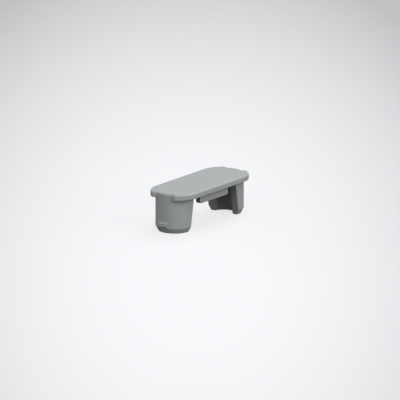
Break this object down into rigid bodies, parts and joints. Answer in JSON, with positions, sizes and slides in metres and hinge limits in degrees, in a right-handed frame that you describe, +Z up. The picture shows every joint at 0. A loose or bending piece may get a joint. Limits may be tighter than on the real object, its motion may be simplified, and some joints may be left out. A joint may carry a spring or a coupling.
{
  "type": "profile end cap",
  "caption": "Moulded plastic end cap: a round-ended plate with half-round plugs and short ribs below it, pushed into the cut end of a flat-oval profile.",
  "frame": {"origin": "centre of the plate's underside, the face that bears on the cut end of the profile", "axes": "+X along the plate from one plug to the other, +Y across it, +Z up out of the profile through the outer face"},
  "size_m": [0.0494, 0.02, 0.0163],
  "materials": {
    "moulding": "light grey moulded plastic with a fine satin grain"
  },
  "bodies": {
    "root": {"end_cap": "moulding"}
  },
  "joints": []
}
